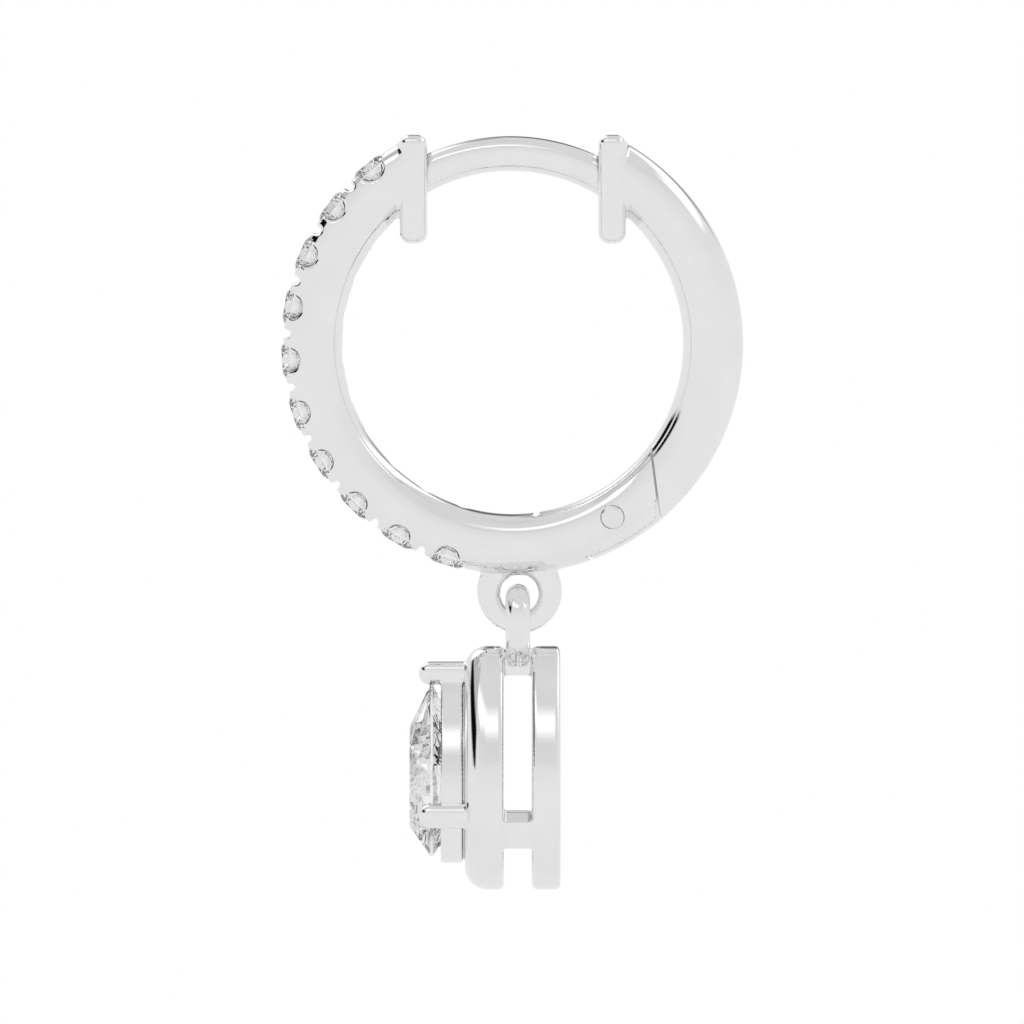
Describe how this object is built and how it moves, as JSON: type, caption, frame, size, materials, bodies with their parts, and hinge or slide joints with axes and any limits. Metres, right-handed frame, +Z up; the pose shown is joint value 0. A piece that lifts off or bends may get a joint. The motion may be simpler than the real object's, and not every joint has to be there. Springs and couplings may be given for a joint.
{
  "type": "hoop charm earring",
  "caption": "Hinged hoop earring with a row of small round stones on its front half and a pear-shaped stone charm hanging from a bail below.",
  "frame": {"origin": "middle of the curved post, where it passes through the ear lobe", "axes": "+Z up as worn, +X across the hoop from the stone-set front half to the plain back half, +Y along the hinge pin, away from the picture's camera"},
  "size_m": [0.0139, 0.0056, 0.0227],
  "materials": {
    "metal": "polished white precious metal",
    "pin_metal": "polished",
    "small_stones": "faceted, colourless",
    "pear_stone": "faceted, colourless"
  },
  "bodies": {
    "front_half": {"hoop_front": "metal", "stone_01": "small_stones", "stone_02": "small_stones", "stone_03": "small_stones", "stone_04": "small_stones", "stone_05": "small_stones", "stone_06": "small_stones", "stone_07": "small_stones", "stone_08": "small_stones", "stone_09": "small_stones", "stone_10": "small_stones", "hinge_pin": "pin_metal"},
    "back_half": {"hoop_back": "metal"},
    "drop": {"charm_frame": "metal", "pear_stone": "pear_stone"}
  },
  "joints": [
    {"name": "hoop_hinge", "type": "hinge", "parent": "front_half", "child": "back_half", "pos_m": [0.00299, 0, -0.01092], "axis": [0, 1, 0], "range_deg": [0, 45]},
    {"name": "drop_swing", "type": "hinge", "parent": "front_half", "child": "drop", "pos_m": [0.0002, 0, -0.0132], "axis": [0, 1, 0], "range_deg": [-70, 50]}
  ]
}
